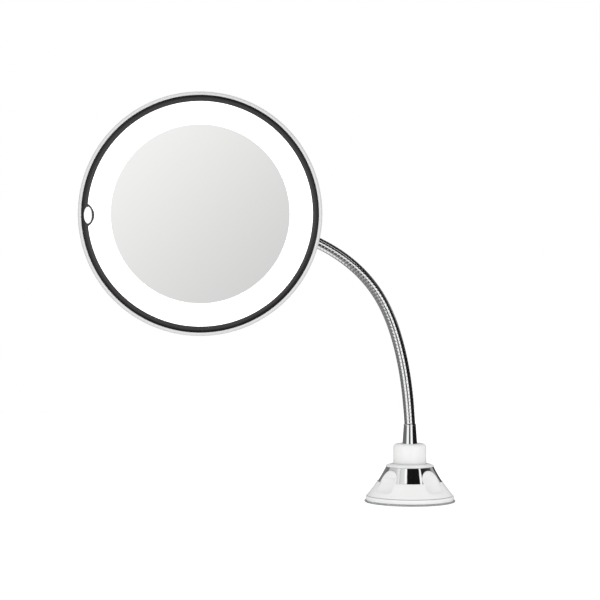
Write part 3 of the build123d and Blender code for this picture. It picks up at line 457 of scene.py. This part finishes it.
def neck_line():
    """Dense points along the neck's smooth line, with lengths from the first hinge, and the length at each mid-link."""
    points, lengths, cuts = [], [], []
    p = NECK_HINGES
    last = (p[-1] - p[-2]).normalized()
    end_axis = (BALL - p[-1]).normalized()
    mids = [(a + b) / 2 for a, b in zip(p[:-1], p[1:])]
    first = (p[1] - p[0]).normalized()
    for i in range(13):
        points.append(p[0] + first * (-6 + i * 0.5) * MM)
    for i in range(1, 41):
        points.append(p[0].lerp(mids[0], i / 40))
    cuts.append(len(points) - 1)
    for k in range(1, len(p)):
        end = mids[k] if k < len(p) - 1 else p[-1] + end_axis * SLEEVE_REACH * MM
        a, b, c = mids[k - 1], p[k], end
        for i in range(1, 41):
            s = i / 40
            points.append(a * (1 - s) ** 2 + b * 2 * s * (1 - s) + c * s * s)
        cuts.append(len(points) - 1)
    lengths = [-6 * MM]
    for a, b in zip(points[:-1], points[1:]):
        lengths.append(lengths[-1] + (b - a).length)
    for i in range(30):
        points.append(points[-1] + end_axis * 0.5 * MM)
        lengths.append(lengths[-1] + 0.5 * MM)
    return points, lengths, [lengths[i] for i in cuts]


def neck_frames(points):
    """A side vector at each point, carried along the line without twist."""
    sides = []
    side = Vector((0, -1, 0))
    for i in range(len(points)):
        tangent = (points[min(i + 1, len(points) - 1)] - points[max(i - 1, 0)]).normalized()
        side = (side - tangent * side.dot(tangent)).normalized()
        sides.append((side, tangent))
    return sides


def wire_radius(u, s):
    """Radius of the winding at fraction u of its turn, and the ball end below the first hinge."""
    v = abs(u - 0.5) * 2
    r = NECK_R - CROWN * v**2 - GROOVE * max(0.0, (v - GROOVE_FROM) / (1 - GROOVE_FROM)) ** 1.5
    if s < 0:
        r = min(r, math.sqrt(max(0.5, NECK_R**2 - (s / MM) ** 2)))
    return r * MM


def neck_pieces():
    points, lengths, cuts = neck_line()
    sides = neck_frames(points)

    def at(s):
        lo, hi = 0, len(lengths) - 1
        while hi - lo > 1:
            mid = (lo + hi) // 2
            lo, hi = (mid, hi) if lengths[mid] <= s else (lo, mid)
        f = (s - lengths[lo]) / (lengths[hi] - lengths[lo])
        side = sides[lo][0].lerp(sides[hi][0], f)
        tangent = sides[lo][1].lerp(sides[hi][1], f).normalized()
        side = (side - tangent * side.dot(tangent)).normalized()
        return points[lo].lerp(points[hi], f), side, tangent

    turns = [-1] + [round(c / (PITCH * MM)) for c in cuts]
    turns[-1] = int(cuts[-1] / (PITCH * MM))
    steps = len(TURN_STEPS)
    for k in range(len(NECK_HINGES)):
        rows = (turns[k + 1] - turns[k]) * steps + 1
        bm = bmesh.new()
        grid = []
        for i in range(rows):
            u = TURN_STEPS[i % steps]
            start = (turns[k] + i // steps + u) * PITCH * MM
            row = []
            for j in range(AROUND + 1):
                s = start + PITCH * MM * j / AROUND
                centre, side, tangent = at(s)
                a = 2 * math.pi * j / AROUND
                out = side * math.cos(a) + tangent.cross(side) * math.sin(a)
                row.append(bm.verts.new(centre + out * wire_radius(u, s)))
            grid.append(row)
        for low, high in zip(grid[:-1], grid[1:]):
            for j in range(AROUND):
                bm.faces.new((low[j], low[j + 1], high[j + 1], high[j]))
        bmesh.ops.remove_doubles(bm, verts=bm.verts, dist=1e-6)
        bmesh.ops.holes_fill(bm, edges=[e for e in bm.edges if e.is_boundary], sides=0)
        bmesh.ops.recalc_face_normals(bm, faces=bm.faces)
        name = f"neck_winding_{k + 1:02d}"
        mesh = bpy.data.meshes.new(name)
        bm.to_mesh(mesh)
        bm.free()
        smooth(mesh, 60)
        obj = new_object(name, mesh, NECK_METAL)
        if k == 0:
            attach(obj, NECK_BODIES[1])
        else:
            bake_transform(obj)
        if k < len(NECK_HINGES) - 1:
            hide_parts(f"neck_link_{k + 1:02d}")


neck_pieces()


# ---------------------------------------------------------------- mirror and cup
def mirror_piece():
    """Concave glass with a polished edge."""
    low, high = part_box("mirror_glass")
    radius = (high.x - low.x) / 2 / MM
    curve, thick, bevel = 580.0, 2.0, 0.35
    rim = -(low.y - BALL.y) / MM  # height of the front edge, towards the viewer
    sag = curve - math.sqrt(curve**2 - radius**2)

    def face(r):
        return rim - sag + curve - math.sqrt(curve**2 - r * r)

    outer = radius - bevel
    steps = 40
    front = [(outer * i / steps, face(outer * i / steps)) for i in range(steps + 1)]
    back = [(outer * i / 8, face(outer * i / 8) - thick) for i in range(8, -1, -1)]
    edge = [(radius, face(radius) - bevel), (radius, face(radius) - thick + bevel)]
    mesh = lathe("mirror_face", front + edge + back, BALL, (0, -1, 0), segments=160, degrees=25)
    obj = new_object("mirror_face", mesh, MIRROR, "head")
    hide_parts("mirror_glass")


mirror_piece()


def suction_piece():
    """Soft cup with a rolled lip."""
    low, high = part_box("suction_cup")
    r = high.x / MM
    profile = [
        (0, 2.0), (12, 1.95), (22, 1.35), (r - 5.2, 0.28), (r - 4.6, 0.02), (r - 3.4, 0.0), (r - 2.9, 0.12), (r - 2.4, 0.0),
        (r - 1.2, 0.0), (r - 0.35, 0.12), (r, 0.5), (r - 0.1, 0.95), (r - 0.9, 1.5), (30.0, 1.58), (22.0, 2.95),
        (14.0, 4.38), (11.2, 4.4), (10.5, 4.9), (10.5, 7.9), (9.9, 8.5), (6.3, 8.5), (6.05, 8.2), (6.05, 5.25), (7.9, 5.2),
        (8.05, 5.1), (8.05, 3.5), (7.9, 3.4), (0, 3.4),
    ]
    mesh = lathe("suction_lip", profile, (0, 0, 0), (0, 0, 1), segments=144, degrees=35)
    obj = new_object("suction_lip", mesh, PVC)
    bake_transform(obj)
    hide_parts("suction_cup")


suction_piece()


# ---------------------------------------------------------------- softened mouldings
SOFT = {
    "lock_knob": (0.35, WHITE),
    "shoulder_ring": (0.2, WHITE),
    "neck_cap": (0.3, WHITE),
    "base_housing": (0.3, WHITE),
    "front_rim": (0.25, PEARL),
    "power_button": (0.15, BUTTON_PAINTED_GLOW),
    "rear_shell": (0.25, WHITE_TEXTURED),
    "battery_door": (0.2, WHITE_TEXTURED),
    "socket_base": (0.25, WHITE_TEXTURED),
    "socket_collar": (0.25, WHITE_TEXTURED),
}
for node, (width, material) in SOFT.items():
    softened(node, width, material)


# ---------------------------------------------------------------- studio
FLOOR_R = 1.1


def floor():
    """Over-lit white sweep, so only the darkest contact shadow shows on it."""
    bm = bmesh.new()
    bmesh.ops.create_circle(bm, cap_ends=True, segments=96, radius=FLOOR_R)
    mesh = bpy.data.meshes.new("floor")
    bm.to_mesh(mesh)
    bm.free()
    made = surface(
        "floor_white", (0.55, 0.55, 0.55), 0.6, vary=0.004, vary_scale=1.5,
        **{"Specular IOR Level": 0.1, "Emission Color": (1, 1, 1, 1), "Emission Strength": 0.72}
    )
    obj = new_object("floor", mesh, made)
    obj.location = (0, 0, -0.0002)
    obj.visible_glossy = False


floor()


def area_light(name, place, aim, size, power):
    data = bpy.data.lights.new(name, "AREA")
    data.shape, data.size, data.size_y, data.energy = "RECTANGLE", size[0], size[1], power
    obj = bpy.data.objects.new(name, data)
    bpy.context.scene.collection.objects.link(obj)
    obj.location = place
    obj.rotation_euler = (Vector(aim) - Vector(place)).to_track_quat("-Z", "Y").to_euler()
    obj.visible_glossy = False


area_light("key", (-1.1, -1.5, 1.6), (-0.08, 0, 0.15), (1.2, 1.2), 11)
area_light("fill", (1.3, -1.1, 0.9), (-0.08, 0, 0.12), (1.0, 1.2), 5.2)
area_light("back", (0.3, 1.5, 1.4), (-0.08, 0, 0.15), (1.4, 1.0), 5)


def front_flag():
    """Narrow black card in front of the neck: only its reflection is seen, as the dark line down the plating."""
    bm = bmesh.new()
    corners = [(FLAG_X[0], FLAG_Z[0]), (FLAG_X[1], FLAG_Z[0]), (FLAG_X[1], FLAG_Z[1]), (FLAG_X[0], FLAG_Z[1])]
    bm.faces.new([bm.verts.new((x, FLAG_Y, z)) for x, z in corners])
    mesh = bpy.data.meshes.new("front_flag")
    bm.to_mesh(mesh)
    bm.free()
    made = surface("flag_black", (0.01, 0.01, 0.01), 0.9, **{"Specular IOR Level": 0.0})
    obj = new_object("front_flag", mesh, made)
    for flag in ("camera", "diffuse", "transmission", "shadow", "volume_scatter"):
        setattr(obj, "visible_" + flag, False)


FLAG_X, FLAG_Y, FLAG_Z = (-0.12, 0.06), -0.45, (0.0, 0.172)
front_flag()

# what polished surfaces see, as (azimuth, brightness) round the studio: 0 is the camera's side, + to its right
HIGH = [(-180, 0.42), (-150, 0.5), (-100, 0.6), (-60, 0.7), (-32, 0.84), (-28, 1.15), (-21, 1.15), (-19, 0.008), (48, 0.008),
        (49.5, 1.1), (57, 1.1), (59, 0.01), (100, 0.012), (150, 0.03), (170, 0.12), (180, 0.42)]
MIDDLE = [(-180, 0.42), (-150, 0.5), (-100, 0.6), (-60, 0.7), (-21, 0.85), (-19, 0.008), (59, 0.015), (85, 0.03), (112, 0.08),
          (135, 0.08), (165, 0.06), (180, 0.42)]
SLOPE = [(-180, 0.25), (-120, 0.14), (-64, 0.17), (-50, 1.1), (-20, 1.0), (42, 1.1), (45, 0.008), (104, 0.01), (118, 0.36), (150, 0.42),
         (180, 0.25)]
LEVEL = [(-180, 0.25), (-120, 0.14), (-64, 0.17), (-50, 1.1), (-20, 1.0), (42, 1.1), (45, 0.008), (150, 0.015), (172, 0.1), (180, 0.25)]
LOW = [(-180, 0.26), (-120, 0.23), (-75, 0.2), (-50, 0.18), (-36, 0.4), (-27, 0.12), (-4, 0.1), (6, 0.3), (36, 0.34), (46, 0.02), (112, 0.02), (140, 0.24), (180, 0.24)]
TOP = [(-180, 0.25), (-60, 0.35), (-24, 0.3), (-18, 0.008), (165, 0.008), (180, 0.25)]


BOTTOM = [(-180, 0.85), (-60, 0.9), (-10, 0.7), (40, 0.1), (120, 0.1), (180, 0.6)]


def studio_world():
    """Soft white tent with black cards, which only polished surfaces tell apart."""
    world = bpy.data.worlds.new("studio")
    bpy.context.scene.world = world
    t = Tree(world)
    direction = t.node("TexCoord").outputs["Generated"]
    xyz = t.node("SeparateXYZ", {0: direction})
    azimuth = t.math("ARCTAN2", xyz.outputs[0], t.math("MULTIPLY", xyz.outputs[1], -1.0))
    turn = t.math("ADD", t.math("DIVIDE", azimuth, 2 * math.pi), 0.5)
    elevation = t.math("MULTIPLY", t.math("ARCSINE", xyz.outputs[2]), 57.29578)

    def band(stops):
        ramp = t.node("ValToRGB", {"Fac": turn})
        elements = ramp.color_ramp.elements
        while len(elements) < len(stops):
            elements.new(0.5)
        for element, (place, value) in zip(elements, stops):
            element.position = place / 360 + 0.5
            element.color = (value, value, value, 1)
        return ramp.outputs[0]

    high, level, low = band(HIGH), band(LEVEL), band(LOW)
    # the mirror looks forward into this patch, brighter low on the right
    sweep = t.math("SUBTRACT", t.math("MULTIPLY", azimuth, 57.29578), elevation)
    gradient = t.ramp(sweep, -34.0, 26.0, 0.66, 1.03)
    level = t.mix(t.ramp(azimuth, -0.42, -0.3), level, gradient)
    level = t.mix(t.ramp(azimuth, 0.2, 0.32), level, band(LEVEL))
    low = t.mix(t.ramp(elevation, -16.0, -12.0), low, level)
    low = t.mix(t.ramp(elevation, -54.0, -48.0), band(BOTTOM), low)
    low = t.mix(t.ramp(elevation, 10.0, 13.0), low, t.mix(t.ramp(azimuth, 0.9, 1.0), low, band(SLOPE)))
    glossy = t.mix(t.ramp(elevation, 20.0, 25.0), low, band(MIDDLE))
    glossy = t.mix(t.ramp(elevation, 39.5, 42.5), glossy, high)
    glossy = t.mix(t.ramp(elevation, 57.0, 61.0), glossy, band(TOP))
    soft = t.node("Background", {"Color": (1, 1, 1, 1), "Strength": 0.73})
    cards = t.node("Background", {"Color": glossy, "Strength": 1.0})
    seen = t.node("Background", {"Color": (1, 1, 1, 1), "Strength": 1.0})
    path = t.node("LightPath")
    both = t.node("MixShader", {0: path.outputs["Is Glossy Ray"], 1: soft.outputs[0], 2: cards.outputs[0]})
    out = t.node("MixShader", {0: path.outputs["Is Camera Ray"], 1: both.outputs[0], 2: seen.outputs[0]})
    t.put(out.outputs[0], t.node("OutputWorld").inputs["Surface"])


studio_world()


def camera():
    data = bpy.data.cameras.new("camera")
    data.sensor_width, data.lens = 36.0, 99.0
    data.clip_start, data.clip_end = 0.05, 50.0
    obj = bpy.data.objects.new("camera", data)
    bpy.context.scene.collection.objects.link(obj)
    obj.location = (BALL.x + 0.07274, HEAD_FRONT - 1.2, BALL.z - 0.0628)
    obj.rotation_euler = (math.radians(90), 0, 0)
    bpy.context.scene.camera = obj


camera()
bpy.context.scene.view_settings.view_transform = "Standard"
